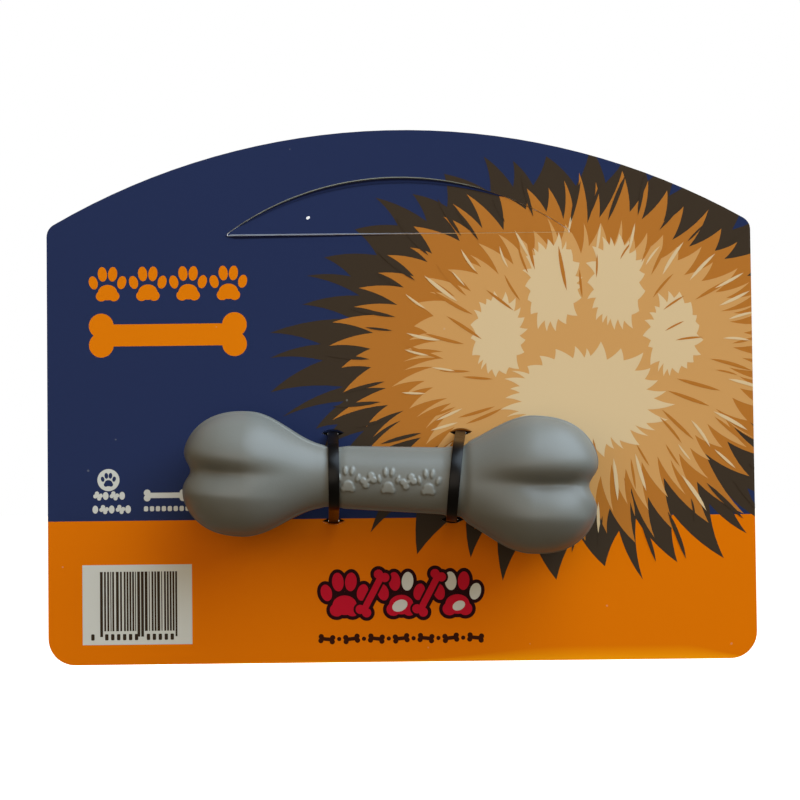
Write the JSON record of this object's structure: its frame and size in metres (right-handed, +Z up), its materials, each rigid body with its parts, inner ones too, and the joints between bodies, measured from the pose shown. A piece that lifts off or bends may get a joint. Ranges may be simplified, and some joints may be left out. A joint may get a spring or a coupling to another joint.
{
  "type": "rubber chew toy",
  "caption": "Grey rubber chew bone with lobed ends, held by black cable ties through slits in an arched display card that has a fold-back hang flap.",
  "frame": {"origin": "top of the hang opening, midway across it and in the middle of the board, where a peg bears", "axes": "+X to the right along the card's width, +Z up the card, printed face and bone towards -Y"},
  "size_m": [0.25, 0.0485, 0.1885],
  "materials": {
    "printed_board": "gloss-coated print in navy and orange on solid white board",
    "grey_rubber": "matte moulded natural rubber",
    "black_nylon": "smooth moulded nylon"
  },
  "bodies": {
    "card": {"backing_card": "printed_board", "rubber_bone": "grey_rubber", "cable_tie_left": "black_nylon", "cable_tie_right": "black_nylon"},
    "flap": {"hang_flap": "printed_board"}
  },
  "joints": [
    {"name": "flap_fold", "type": "hinge", "parent": "card", "child": "flap", "pos_m": [0, 0.0003, -0.02], "axis": [-1, 0, 0], "range_deg": [-1, 149]}
  ]
}
